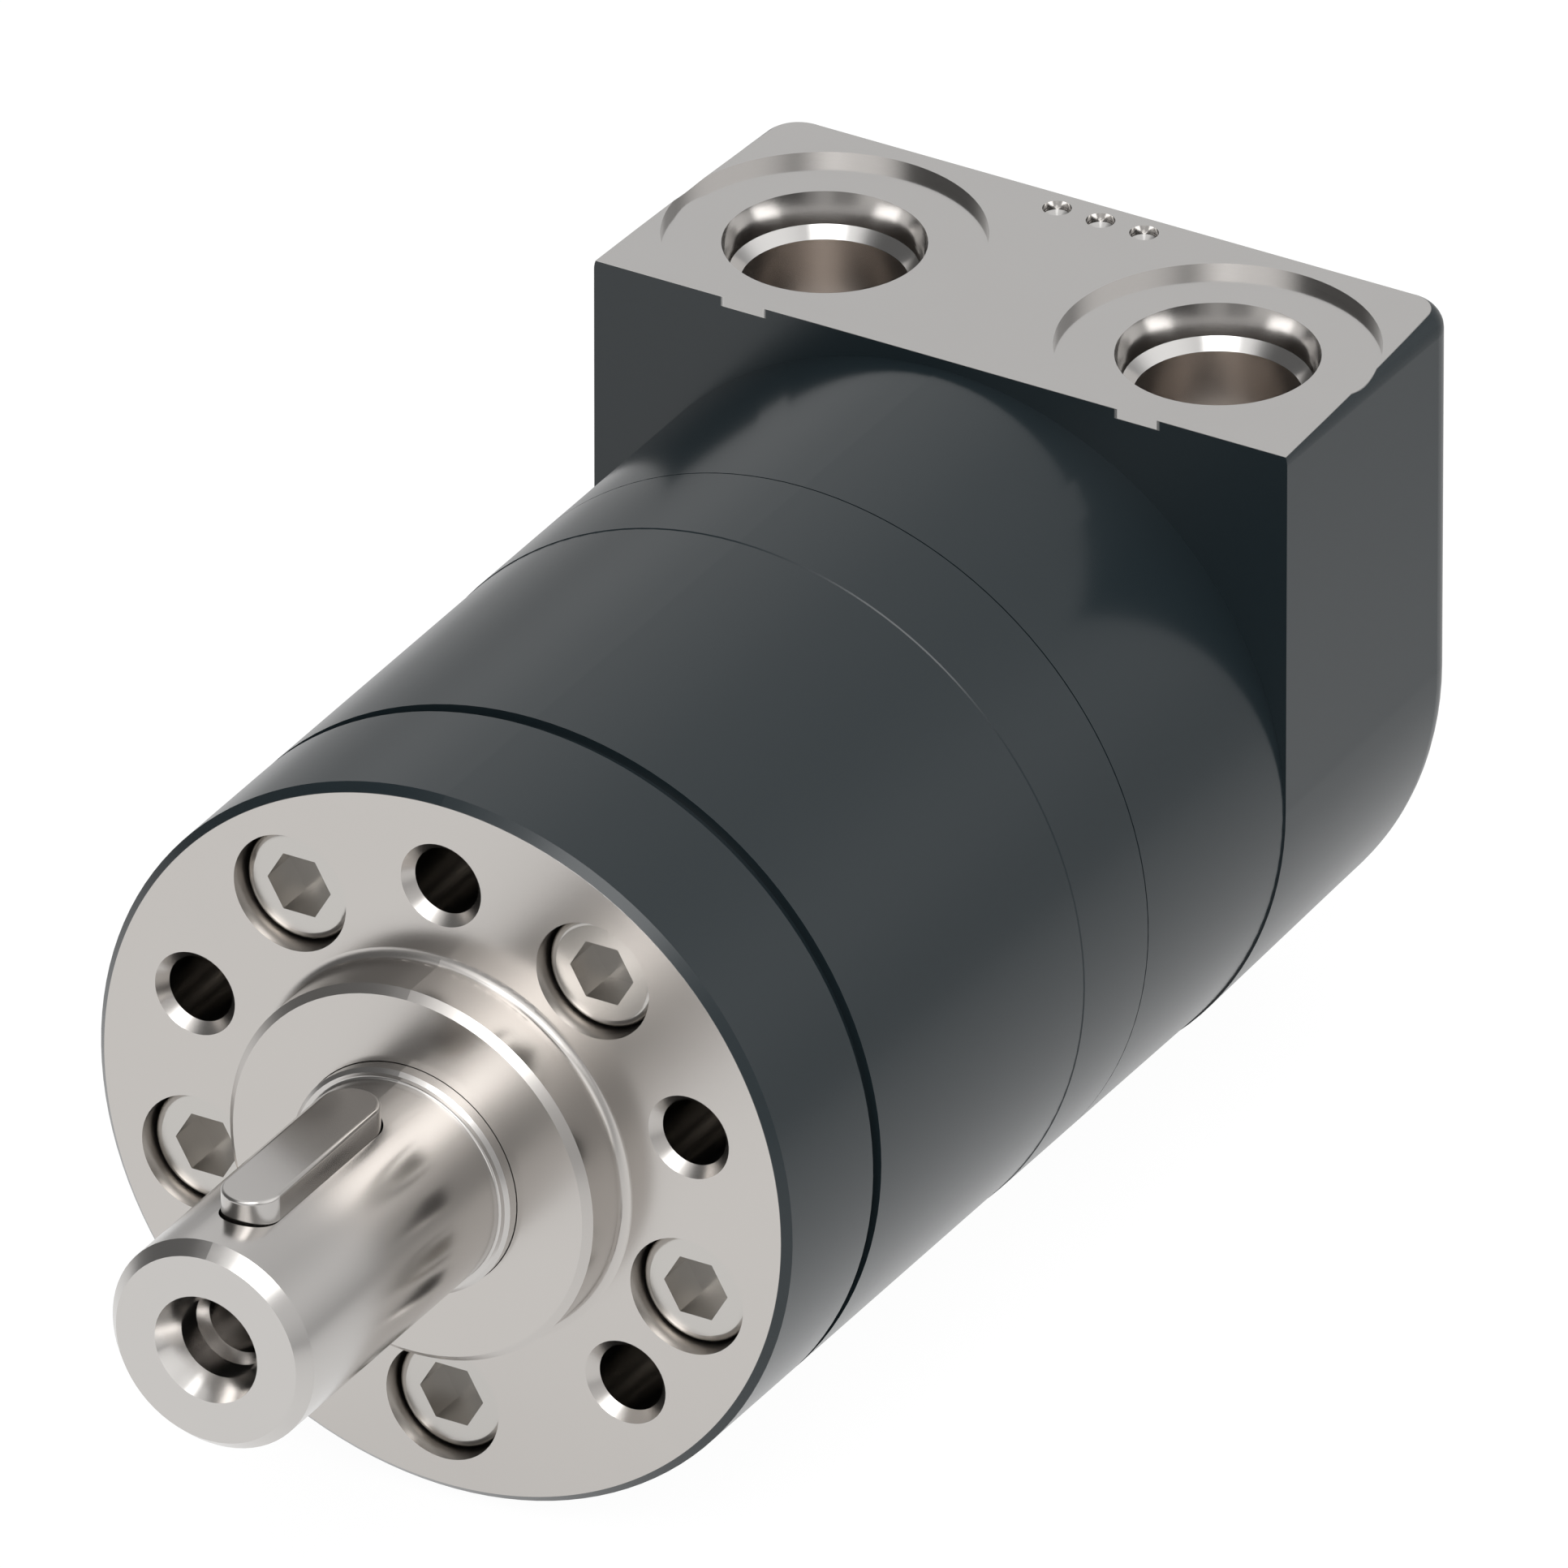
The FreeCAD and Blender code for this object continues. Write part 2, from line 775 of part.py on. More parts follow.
def needle_cup(station):
    rear = station + cup_length
    lip = race_radius - cup_lip_height
    return turned([
        (station, lip),
        (station, cup_radius),
        (rear, cup_radius),
        (rear, lip),
        (rear - cup_lip_width, lip),
        (rear - cup_lip_width, race_radius),
        (station + cup_lip_width, race_radius),
        (station + cup_lip_width, lip),
    ])


def needles(station):
    middle = station + cup_length / 2
    half = needle_length / 2
    needle = rod(needle_radius, middle - half, middle + half, Vector(needle_circle, 0, 0))
    return Part.makeCompound(ring_of(needle, needle_count))


def needle_cage(station):
    middle = station + cup_length / 2
    half = cup_length / 2 - needle_cage_end_gap
    inner = needle_circle - needle_cage_thickness / 2
    outer = needle_circle + needle_cage_thickness / 2
    ring = tube(middle - half, middle + half, outer, inner)
    pocket_half = needle_length / 2 + pocket_gap
    width = 2 * (needle_radius + pocket_gap)
    pocket = Part.makeBox(needle_cage_thickness * 2, 2 * pocket_half, width,
                          Vector(needle_circle - needle_cage_thickness,
                                 middle - pocket_half, -width / 2))
    return ring.cut(ring_of(pocket, needle_count))


# Gear set and drives


def rotor_point(turn):
    """Point of the rotor's outline: the path of a ring lobe's centre, set in by its radius."""
    rc = lobe_circle_radius
    e = eccentricity
    n = ring_lobes
    x = rc * math.cos(turn) - e * math.cos(n * turn)
    z = rc * math.sin(turn) - e * math.sin(n * turn)
    dx = -rc * math.sin(turn) + n * e * math.sin(n * turn)
    dz = rc * math.cos(turn) - n * e * math.cos(n * turn)
    step = (lobe_radius + lobe_gap) / math.hypot(dx, dz)
    return x - dz * step, z + dx * step


def gerotor_rotor():
    """Rotor shaped to pass every lobe of the ring with the lobe gap as it orbits.

    Its outline is arcs through points of the exact curve, one centred on each valley and tip.
    """
    arcs = rotor_lobes * arcs_per_lobe
    valley = 180.0 / rotor_lobes
    points = []
    for i in range(2 * arcs + 1):
        x, z = rotor_point(math.pi * (i - 1) / arcs)
        points.append(Vector(x, gear_front + rotor_side_gap, z))
    edges = [Part.Arc(*points[2 * i:2 * i + 3]).toShape() for i in range(arcs)]
    face = Part.Face(Part.Wire(edges))
    rotor = face.extrude(MOTOR_AXIS * (gear_width - 2 * rotor_side_gap))
    rotor = spun(rotor, valley)
    bore = spline_bore(drive_teeth, drive_root_radius, drive_tip_radius, drive_tooth_width,
                       gear_front, gear_rear)
    rotor = rotor.cut(bore)
    rotor.translate(Vector(rotor_x, 0, rotor_z))
    return rotor


def drive_head(teeth, root, tip, tooth_width, front, rear):
    """Spline teeth on a short head whose ends are chamfered, so it can rock."""
    c = drive_head_chamfer
    blank = turned([(front, 0), (front, tip - c), (front + c, tip), (rear - c, tip),
                    (rear, tip - c), (rear, 0)])
    return splined_bar(teeth, root, tip, tooth_width, front, rear).common(blank)


def aimed(shape, front_point, rear_point):
    """Moves a drive modelled along Y from the origin so that it runs between two points."""
    line = rear_point - front_point
    shape.Placement = FreeCAD.Placement(front_point, FreeCAD.Rotation(MOTOR_AXIS, line))
    return shape


def cardan_drive():
    length = (cardan_rotor_pivot - shaft_pivot).Length
    half = drive_head_length / 2
    rear_half = cardan_head_length / 2
    heads = [drive_head(drive_teeth, drive_root_radius, drive_tip_radius, drive_tooth_width,
                        station - h, station + h) for station, h in ((0, half), (length, rear_half))]
    neck = rod(drive_neck_radius, 0, length)
    nose = rod(spacer_radius, -half - drive_nose_length, 0)
    drive = heads[0].multiFuse([heads[1], neck, nose])
    return aimed(drive, shaft_pivot, cardan_rotor_pivot)


def valve_drive():
    length = (spool_pivot - valve_rotor_pivot).Length
    half = valve_head_length / 2
    rear_half = valve_rear_head_length / 2
    front = drive_head(drive_teeth, drive_root_radius, drive_tip_radius, drive_tooth_width,
                       -half, half)
    rear = drive_head(valve_teeth, valve_root_radius, valve_tip_radius, valve_tooth_width,
                      length - rear_half, length + rear_half)
    neck = rod(valve_neck_radius, 0, length)
    drive = front.multiFuse([rear, neck])
    return aimed(drive, valve_rotor_pivot, spool_pivot)


def drive_spacer():
    """Loose disc between the two drives, inside the rotor's spline."""
    return rod(spacer_radius, spacer_front, spacer_front + spacer_thickness,
               Vector(rotor_x, 0, rotor_z))


# Valve


def valve_spool():
    """Spool with two ring grooves and slots that reach from each towards the windows."""
    half = spool_groove_width / 2
    floor = spool_radius - spool_groove_depth
    body = turned([
        (spool_front, 0),
        (spool_front, spool_radius),
        (front_groove - half, spool_radius),
        (front_groove - half, floor),
        (front_groove + half, floor),
        (front_groove + half, spool_radius),
        (rear_groove - half, spool_radius),
        (rear_groove - half, floor),
        (rear_groove + half, floor),
        (rear_groove + half, spool_radius),
        (spool_rear, spool_radius),
        (spool_rear, 0),
    ])
    window_front = window_centre - window_length / 2
    window_rear = window_centre + window_length / 2
    pitch = 180.0 / rotor_lobes
    cuts = []
    for i in range(2 * rotor_lobes):
        if i % 2 == 0:
            front, rear = front_groove + half, window_rear
        else:
            front, rear = window_front, rear_groove - half
        slot = Part.makeBox(spool_radius, rear - front, slot_width,
                            Vector(floor, front, -slot_width / 2))
        cuts.append(spun(slot, rest_angle + pitch * (i - 0.5)))
    spline_front = spool_spline_centre - spool_spline_length / 2
    spline_rear = spool_spline_centre + spool_spline_length / 2
    cuts.append(rod(valve_tip_radius + spline_gap, spool_front, spline_front))
    cuts.append(spline_bore(valve_teeth, valve_root_radius, valve_tip_radius, valve_tooth_width,
                            spline_front, spline_rear))
    cuts.append(rod(valve_root_radius, spline_rear, spool_rear))
    return body.cut(cuts)


def spool_snap_ring():
    """Open spring ring that keeps the spool from moving forward."""
    rear = spool_front - 2 * running_gap
    outer = spool_bore_radius + snap_ring_bite - running_gap
    ring = tube(rear - snap_ring_thickness, rear, outer, outer - snap_ring_width)
    reach = outer + overrun
    gap = Part.makeBox(snap_ring_opening, snap_ring_thickness, reach,
                       Vector(-snap_ring_opening / 2, rear - snap_ring_thickness, -reach))
    return ring.cut(gap)


def build():
    os.makedirs("parts", exist_ok=True)
    save("front_cover", front_cover())
    save("bearing_housing", bearing_housing())
    save("gear_ring", gear_ring())
    save("port_housing", port_housing())
    save("cover_screws", cover_screws())
    save("cover_face_seal", face_seal(housing_front))
    save("gear_front_face_seal", face_seal(housing_rear - face_seal_height))
    save("gear_rear_face_seal", face_seal(gear_rear))
    save("output_shaft", output_shaft())
    save("shaft_key", shaft_key())
    save("shaft_seal", shaft_seal())
    save("seal_garter_spring", garter_spring())
    save("seal_backing_ring", seal_backing_ring())
    save("front_thrust_washer", washer(thrust_front, washer_inner_radius + washer_bore_gap,
                                       washer_outer_radius))
    save("thrust_rollers", thrust_rollers())
    save("thrust_cage", thrust_cage())
    save("collar_thrust_washer", washer(collar_washer_front, washer_inner_radius,
                                        collar_radius))
    save("rear_thrust_washer", washer(rear_washer_front, drum_radius + washer_bore_gap,
                                      washer_outer_radius))
    save("front_needle_cup", needle_cup(front_cup_station))
    save("front_needles", needles(front_cup_station))
    save("front_needle_cage", needle_cage(front_cup_station))
    save("rear_needle_cup", needle_cup(rear_cup_station))
    save("rear_needles", needles(rear_cup_station))
    save("rear_needle_cage", needle_cage(rear_cup_station))
    save("cardan_drive", cardan_drive())
    save("gerotor_rotor", gerotor_rotor())
    save("drive_spacer", drive_spacer())
    save("valve_drive", valve_drive())
    save("valve_spool", valve_spool())
    save("spool_snap_ring", spool_snap_ring())


build()
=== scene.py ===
# %% [markdown]
# # A small orbital hydraulic motor
# The motor is a steel shaft, a turned iron cover held by five cap screws, and a barrel of enamelled
# iron that ends in a block with two oil ports. Its shape comes complete from the CAD frame, so this
# lesson is about finishes: where paint stops and bare metal starts, and what a studio does to both.

# %% Load the frame
import math

import bpy
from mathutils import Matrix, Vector


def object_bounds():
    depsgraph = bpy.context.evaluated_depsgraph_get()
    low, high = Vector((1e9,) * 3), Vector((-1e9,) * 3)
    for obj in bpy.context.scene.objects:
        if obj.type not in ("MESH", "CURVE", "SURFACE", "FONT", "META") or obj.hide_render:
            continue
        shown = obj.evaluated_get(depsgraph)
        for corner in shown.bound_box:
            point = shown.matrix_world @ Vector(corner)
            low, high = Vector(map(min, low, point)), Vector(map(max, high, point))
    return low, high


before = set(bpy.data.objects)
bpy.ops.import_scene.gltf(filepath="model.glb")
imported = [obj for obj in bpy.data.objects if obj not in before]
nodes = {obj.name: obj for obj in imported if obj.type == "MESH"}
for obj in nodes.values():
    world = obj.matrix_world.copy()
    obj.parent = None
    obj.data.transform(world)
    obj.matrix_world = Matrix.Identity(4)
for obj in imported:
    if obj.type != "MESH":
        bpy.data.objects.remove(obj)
cad_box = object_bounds()
MM = 0.001
print(len(nodes), "pieces, box in mm:", [[round(c / MM, 2) for c in corner] for corner in cad_box])

# %% [markdown]
# ## The camera
# The photograph is a technical view with no vanishing point, turned 30 degrees to the right of the
# shaft and 30 degrees above it. An orthographic camera would do, but a very long lens from five metres
# away looks the same and can also be pulled back for views from the side.

# %% Camera
PICTURE_WIDTH = 118.09 * MM
PICTURE_CENTRE = Vector((4.4, 43.7, 10.7)) * MM
AZIMUTH, ELEVATION = math.radians(30), math.radians(30)


def direction(turn, lift):
    """The direction that lies so far round to the right of the shaft, and so far up."""
    return Vector((math.sin(turn) * math.cos(lift), -math.cos(turn) * math.cos(lift),
                   math.sin(lift)))


lens = bpy.data.cameras.new("long_lens")
lens.lens = 1600
lens.sensor_width = 36
distance = PICTURE_WIDTH * lens.lens / lens.sensor_width
towards_camera = direction(AZIMUTH, ELEVATION)
camera = bpy.data.objects.new("camera", lens)
bpy.context.scene.collection.objects.link(camera)
camera.location = PICTURE_CENTRE + towards_camera * distance
camera.rotation_mode = "QUATERNION"
camera.rotation_quaternion = (-towards_camera).to_track_quat("-Z", "Y")
bpy.context.scene.camera = camera
print("camera stands", round(distance, 2), "m away")

# %% [markdown]
# ## Two helpers
# Paint and metal charts give colours as sRGB hex numbers, but Blender mixes light in linear values, so
# one function turns a hex number into those. The other adds a node with its settings and its links,
# which keeps each material below as a short list of what it is made of.

# %% Helpers
def linear(hex_colour):
    """The linear colour of an sRGB hex number."""
    channels = [int(hex_colour[i:i + 2], 16) / 255 for i in (1, 3, 5)]
    return [c / 12.92 if c <= 0.04045 else ((c + 0.055) / 1.055) ** 2.4 for c in channels] + [1]


def add(tree, kind, inputs=None, **settings):
    """A node with its settings. Each input is a value, or the output that feeds it."""
    node = tree.nodes.new("ShaderNode" + kind)
    for name, value in settings.items():
        setattr(node, name, value)
    for name, value in (inputs or {}).items():
        if isinstance(value, bpy.types.NodeSocket):
            tree.links.new(value, node.inputs[name])
        else:
            node.inputs[name].default_value = value
    return node


print("the mid grey #808080 is", round(linear("#808080")[0], 3), "in linear light")

# %% [markdown]
# ## Where things are
# Paint stops at machined faces, so the materials need to know where a point lies on the motor. A
# node's own coordinates serve for that, because they stay with the metal when the shaft turns. Here
# they are measured in millimetres: how far from the motor's axis, how far along it, and how high.

# %% Places on the motor
def place(tree):
    """Position in mm, its x, y and z, and the distance from the motor's axis."""
    metres = add(tree, "TexCoord").outputs["Object"]
    position = add(tree, "VectorMath", {0: metres, 1: (1 / MM, 1 / MM, 1 / MM)},
                   operation="MULTIPLY")
    xyz = add(tree, "SeparateXYZ", {0: position.outputs[0]}).outputs
    across = add(tree, "CombineXYZ", {"X": xyz["X"], "Z": xyz["Z"]})
    radius = add(tree, "VectorMath", {0: across.outputs[0]}, operation="LENGTH")
    return position.outputs[0], xyz, radius.outputs["Value"]


print("places are measured in mm, and one is", MM, "m")

# %% [markdown]
# ## Masks
# A mask is 1 where a finish is and 0 elsewhere. Three functions make them all: a step at a level, a
# circle seen along one axis, and a way to join masks. They could be painted by hand on an image, but
# worked out from sizes they stay sharp at any distance and need no unwrapping.

# %% Masks
PAINT_EDGE = 0.02


def sharp_step(tree, value, level, low=0.0, high=1.0, edge=PAINT_EDGE):
    """low up to a level in mm and high past it, over a narrow edge."""
    return add(tree, "MapRange", {"Value": value, "From Min": level - edge,
                                  "From Max": level + edge,
                                  "To Min": low, "To Max": high}).outputs["Result"]


def within(tree, across, along, centre, reach):
    """1 inside a circle of that centre and reach, and 0 outside it."""
    here = add(tree, "CombineXYZ", {"X": across, "Y": along}).outputs[0]
    away = add(tree, "VectorMath", {0: here, 1: (*centre, 0)}, operation="DISTANCE")
    return sharp_step(tree, away.outputs["Value"], reach, low=1.0, high=0.0)


def join(tree, how, mask, *others):
    """Joins masks: MAXIMUM keeps what is in any of them, MULTIPLY what is in all of them."""
    for other in others:
        mask = add(tree, "Math", {0: mask, 1: other}, operation=how).outputs[0]
    return mask


print("a paint edge is", 2 * PAINT_EDGE, "mm wide")

# %% [markdown]
# ## Bare metal and paint in one material
# A casting is painted all over, and then faces and bores are machined, so one part shows two finishes
# that meet at a sharp line. The two could be two shaders mixed, but one Principled shader with a mask
# on its colour, metallic and roughness gives the same and survives an export. Cast and milled iron
# is never even: the eye sees slow cloudy changes of shine about a centimetre across, and a fine grain
# on top. The real grain would be about a pixel wide, so it is drawn at a third of a millimetre.

# %% Iron with paint on part of it
PAINT = dict(colour="#1C2529", roughness=0.20, unevenness=0.02)
CLOUD_SIZE, CLOUD_DETAIL = 9.0, 3
GRAIN_SIZE, GRAIN_DETAIL, GRAIN_STRENGTH = 0.35, 2, 0.5
TONE_SPREAD = 0.015


def finish_of(name, bare, bare_roughness, painted=None, tapped=None, thread_shading=None, metallic=1.0,
              unevenness=0.015, grain_height=0.0015):
    """A bare finish. painted and tapped give the masks of the paint and of threaded walls.
    The threaded walls' colour is painted shade in the cover's holes and painted light in the ports.
    """
    material = bpy.data.materials.new(name)
    material.use_nodes = True
    tree = material.node_tree
    tree.nodes.clear()
    position, xyz, radius = place(tree)
    cloud = add(tree, "TexNoise", {"Vector": position, "Scale": 1 / CLOUD_SIZE,
                                   "Detail": CLOUD_DETAIL}).outputs[0]
    grain = add(tree, "TexNoise", {"Vector": position, "Scale": 1 / GRAIN_SIZE,
                                   "Detail": GRAIN_DETAIL}).outputs[0]
    tone = add(tree, "MapRange", {"Value": cloud, "To Min": 1 - TONE_SPREAD,
                                  "To Max": 1 + TONE_SPREAD}).outputs[0]
    colour = add(tree, "VectorMath", {0: linear(bare)[:3], "Scale": tone},
                 operation="SCALE").outputs[0]
    roughness = add(tree, "MapRange", {"Value": cloud, "To Min": bare_roughness - unevenness,
                                       "To Max": bare_roughness + unevenness}).outputs[0]
    # Threaded walls get their own colour: painted shade in the cover's holes, painted light in the
    # ports.
    if tapped:
        cut = tapped(tree, xyz)
        colour = add(tree, "MixRGB", {"Fac": cut, "Color1": colour,
                                      "Color2": linear(thread_shading["colour"])}).outputs[0]
        roughness = add(tree, "Mix", {"Factor": cut, "A": roughness,
                                      "B": thread_shading["roughness"]}).outputs[0]
    if painted:
        mask = painted(tree, xyz, radius)
        dried = add(tree, "MapRange", {"Value": cloud,
                                       "To Min": PAINT["roughness"] - PAINT["unevenness"],
                                       "To Max": PAINT["roughness"] + PAINT["unevenness"]})
        colour = add(tree, "MixRGB", {"Fac": mask, "Color1": colour,
                                      "Color2": linear(PAINT["colour"])}).outputs[0]
        metallic = add(tree, "Math", {0: 1.0, 1: mask}, operation="SUBTRACT").outputs[0]
        roughness = add(tree, "Mix", {"Factor": mask, "A": roughness,
                                      "B": dried.outputs[0]}).outputs[0]
    relief = add(tree, "Bump", {"Height": grain, "Distance": grain_height * MM,
                                "Strength": GRAIN_STRENGTH})
    shader = add(tree, "BsdfPrincipled", {"Base Color": colour, "Metallic": metallic,
                                          "Roughness": roughness,
                                          "Normal": relief.outputs[0]})
    add(tree, "OutputMaterial", {"Surface": shader.outputs[0]})
    return material


def wear(material, *names):
    """Gives these CAD nodes the material."""
    for name in names:
        slots = nodes[name].data.materials
        slots.clear()
        slots.append(material)
    print(material.name, "on", ", ".join(names))


print("paint colour", PAINT["colour"])

# %% [markdown]
# ## The cover
# Turned grey iron, painted outside before its face was cut, so the paint ends where the face's edge
# chamfer begins. Everything nearer the axis than that line is bare, warm light grey and softly shiny.
# The five mounting holes are tapped. Their threads are too fine to model here, so the walls below each
# countersink get their own shine, and a darker colour that is painted shade in the holes.

# %% Cover
COVER_FACE_RADIUS = 29.35
HOLE_CIRCLE, HOLE_REACH, SINK_DEPTH = 22.5, 2.8, 0.88
HOLE_ANGLES = (90, 162, 18, 225, 315)
# Darker than the cover's metal: painted shade on the walls of the mounting holes.
HOLE_THREAD_SHADE = dict(colour="#A19E9A", roughness=0.18)


def outside_cover(tree, xyz, radius):
    """1 on the cover's painted outside."""
    return sharp_step(tree, radius, COVER_FACE_RADIUS)


def tapped_holes_shade(tree, xyz):
    """1 on the walls of the five mounting holes, below their countersinks, where the darker colour is
    painted shade.
    """
    holes = []
    for angle in HOLE_ANGLES:
        turn = math.radians(angle)
        centre = (math.cos(turn) * HOLE_CIRCLE, math.sin(turn) * HOLE_CIRCLE)
        holes.append(within(tree, xyz["X"], xyz["Z"], centre, HOLE_REACH))
    below_sink = sharp_step(tree, xyz["Y"], SINK_DEPTH)
    return join(tree, "MULTIPLY", join(tree, "MAXIMUM", *holes), below_sink)


wear(finish_of("turned_grey_iron_cover", "#C8C4C0", 0.24, outside_cover, tapped_holes_shade, HOLE_THREAD_SHADE),
     "front_cover")

# %% [markdown]
# ## The barrel
# The bearing housing and the gear ring are painted on their outsides only. The enamel is a dark grey
# with a touch of blue, and satin, so it mirrors the block and the lamps softly. The ends and bores are
# bare, which nobody sees until the motor is taken apart.

# %% Barrel
BARREL_PAINT_RADIUS = 28.9


def outside_barrel(tree, xyz, radius):
    """1 on the barrel's painted outside."""
    return sharp_step(tree, radius, BARREL_PAINT_RADIUS)


wear(finish_of("satin_enamel_on_iron_barrel", "#B4B1AE", 0.30, outside_barrel),
     "bearing_housing", "gear_ring")

# %% [markdown]
# ## The port block
# Its top is milled flat and each port has a spot face just below it, so paint ends at one height. The
# ports and the bore for the valve are bare too: a point is in a port if it lies within the port's
# circle, seen from above, and higher than the block's middle. The seats are reamed smooth. Below them
# the ports are tapped, which gives a rougher wall with an even shine.

# %% Port block
BLOCK_TOP, BLOCK_MIDDLE, BORE_END = 30.95, 5.0, 99.0
CUT_MARGIN, CUT_EDGE = 0.03, 0.01
PORT_CENTRE, PORT_REACH = (17.15, 87.20), 8.2
SPOT_FACE_REACH, SPOT_FACE_DEPTH = 12.49, 0.8
MARK_REACH, MARK_PITCH, MARK_Y, MARKS_ABOVE = 1.18, 3.8, 99.30, 25.0


def outside_block(tree, xyz, radius):
    """1 on the painted walls of the block and the barrel before it."""
    either_side = add(tree, "Math", {0: xyz["X"]}, operation="ABSOLUTE").outputs[0]
    milled = sharp_step(tree, xyz["Z"], BLOCK_TOP - CUT_MARGIN, edge=CUT_EDGE)
    spot_face = join(tree, "MULTIPLY",
                     within(tree, either_side, xyz["Y"], PORT_CENTRE, SPOT_FACE_REACH),
                     sharp_step(tree, xyz["Z"], BLOCK_TOP - SPOT_FACE_DEPTH - CUT_MARGIN,
                                edge=CUT_EDGE))
    port = join(tree, "MULTIPLY",
                within(tree, either_side, xyz["Y"], PORT_CENTRE, PORT_REACH),
                sharp_step(tree, xyz["Z"], BLOCK_MIDDLE))
    bore = join(tree, "MULTIPLY",
                sharp_step(tree, radius, BARREL_PAINT_RADIUS, low=1.0, high=0.0),
                sharp_step(tree, xyz["Y"], BORE_END, low=1.0, high=0.0))
    marks = [within(tree, xyz["X"], xyz["Y"], (n * MARK_PITCH, MARK_Y), MARK_REACH)
             for n in (-1, 0, 1)]
    marks = join(tree, "MULTIPLY", join(tree, "MAXIMUM", *marks),
                 sharp_step(tree, xyz["Z"], MARKS_ABOVE))
    bare = join(tree, "MAXIMUM", milled, spot_face, port, bore, marks)
    return add(tree, "Math", {0: 1.0, 1: bare}, operation="SUBTRACT").outputs[0]


print("a port reaches", PORT_REACH, "mm from its centre, its spot face", SPOT_FACE_REACH)

# %% [markdown]
# ## The ports' threads
# The tapped part of a port is narrower than its seat, and starts where the cone at the seat's end
# runs out. A smaller circle and two heights mark it. Its walls get a lighter colour than the block's
# metal, which is painted light inside the ports.

# %% Threads of the ports
THREAD_REACH, THREAD_TOP = 6.5, 26.72
# Lighter than the block's metal: painted light on the walls of the ports.
PORT_THREAD_LIGHT = dict(colour="#D8D2CD", roughness=0.24)


def tapped_ports_light(tree, xyz):
    """1 on the walls of the two ports, below the cone at the end of their seats, where the lighter
    colour is painted light.
    """
    either_side = add(tree, "Math", {0: xyz["X"]}, operation="ABSOLUTE").outputs[0]
    return join(tree, "MULTIPLY",
                within(tree, either_side, xyz["Y"], PORT_CENTRE, THREAD_REACH),
                sharp_step(tree, xyz["Z"], THREAD_TOP, low=1.0, high=0.0),
                sharp_step(tree, xyz["Z"], BLOCK_MIDDLE))


wear(finish_of("satin_enamel_on_iron_port_block", "#C8C6C4", 0.13, outside_block, tapped_ports_light,
               PORT_THREAD_LIGHT), "port_housing")

# %% [markdown]
# ## Steel
# The shaft is ground, so it is smooth enough to show streaks of the cover behind it. The key is cut
# from cold drawn bar, which is plain and bright. The cap screws are turned and hardened, which leaves
# them a little duller.

# %% Steel outside
wear(finish_of("ground_steel_shaft", "#CAC7C4", 0.19, unevenness=0.02), "output_shaft")
wear(finish_of("cold_drawn_steel_key", "#C4C1BE", 0.17, unevenness=0.02), "shaft_key")
wear(finish_of("turned_steel_cap_screws", "#C6C3BF", 0.22, unevenness=0.02), "cover_screws")

# %% [markdown]
# ## Inside
# The gears, drives and bearings are never seen from outside, but the motor can be taken apart. Gears
# and drives are hardened and ground, bearing parts are brighter, cages are pressed steel, the rear
# thrust washer is bronze and the seals are black rubber, which is no metal at all.

# %% Inner parts
wear(finish_of("hardened_ground_steel", "#B7B3AE", 0.22),
     "cardan_drive", "gerotor_rotor", "drive_spacer", "valve_drive", "valve_spool")
wear(finish_of("polished_bearing_steel", "#D2D0CE", 0.12, unevenness=0.02),
     "front_thrust_washer", "thrust_rollers", "collar_thrust_washer", "front_needle_cup",
     "front_needles", "rear_needle_cup", "rear_needles", "seal_garter_spring",
     "seal_backing_ring", "spool_snap_ring")
wear(finish_of("pressed_cage_steel", "#A9A6A2", 0.34),
     "thrust_cage", "front_needle_cage", "rear_needle_cage")
wear(finish_of("sintered_bronze", "#B08D57", 0.36), "rear_thrust_washer")
wear(finish_of("nitrile_rubber", "#151515", 0.55, metallic=0.0, unevenness=0.02,
               grain_height=0.01),
     "shaft_seal", "cover_face_seal", "gear_front_face_seal", "gear_rear_face_seal")

# %% [markdown]
# ## The studio
# Polished metal shows the room more than itself, so the room is the light here. It could be built from
# lamps on stands, but in a view from another side such lamps would stand in the picture. Instead it
# is painted on the world: grey walls that grow lighter towards the ceiling, and panels that are soft
# discs of more or less light. White paper is 1. Heights run from 0 at the horizon to 1 straight up.

# %% Room
WALLS, CEILING = 0.376, 0.94
WALLS_TOP = 0.45
world = bpy.data.worlds.new("studio")
bpy.context.scene.world = world
world.use_nodes = True
tree = world.node_tree
tree.nodes.clear()
way = add(tree, "TexCoord").outputs["Generated"]
height = add(tree, "SeparateXYZ", {0: way}).outputs["Z"]
room = add(tree, "MapRange", {"Value": height, "From Min": WALLS_TOP, "From Max": 1.0,
                              "To Min": WALLS, "To Max": CEILING}).outputs[0]
print("walls", WALLS, "ceiling", CEILING)

# %% [markdown]
# ## The panels
# A disc is the set of directions within an angle of its middle, which is a dot product, so each panel
# takes three nodes. Its edge fades from the inner angle to the outer one. Its middle is given in
# degrees round to the right from the photograph's side of the motor, and degrees up. The black panel
# on the left is what photographers call a flag: metal needs something dark to reflect, or it looks
# like plaster. The lamp overhead is small, so that the flat top doesn't mirror it in a view from above.

# %% Panels
def panel(room, name, round_to_right, up, inner, outer, brightness):
    """The room with a soft disc of this brightness in it."""
    middle = direction(AZIMUTH + math.radians(round_to_right), math.radians(up))
    near = add(tree, "VectorMath", {0: way, 1: middle}, operation="DOT_PRODUCT")
    disc = add(tree, "MapRange", {"Value": near.outputs["Value"],
                                  "From Min": math.cos(math.radians(outer)),
                                  "From Max": math.cos(math.radians(inner))},
               interpolation_type="SMOOTHSTEP")
    print(name, "at", round_to_right, "round,", up, "up, brightness", brightness)
    return add(tree, "Mix", {"Factor": disc.outputs[0], "A": room, "B": brightness}).outputs[0]


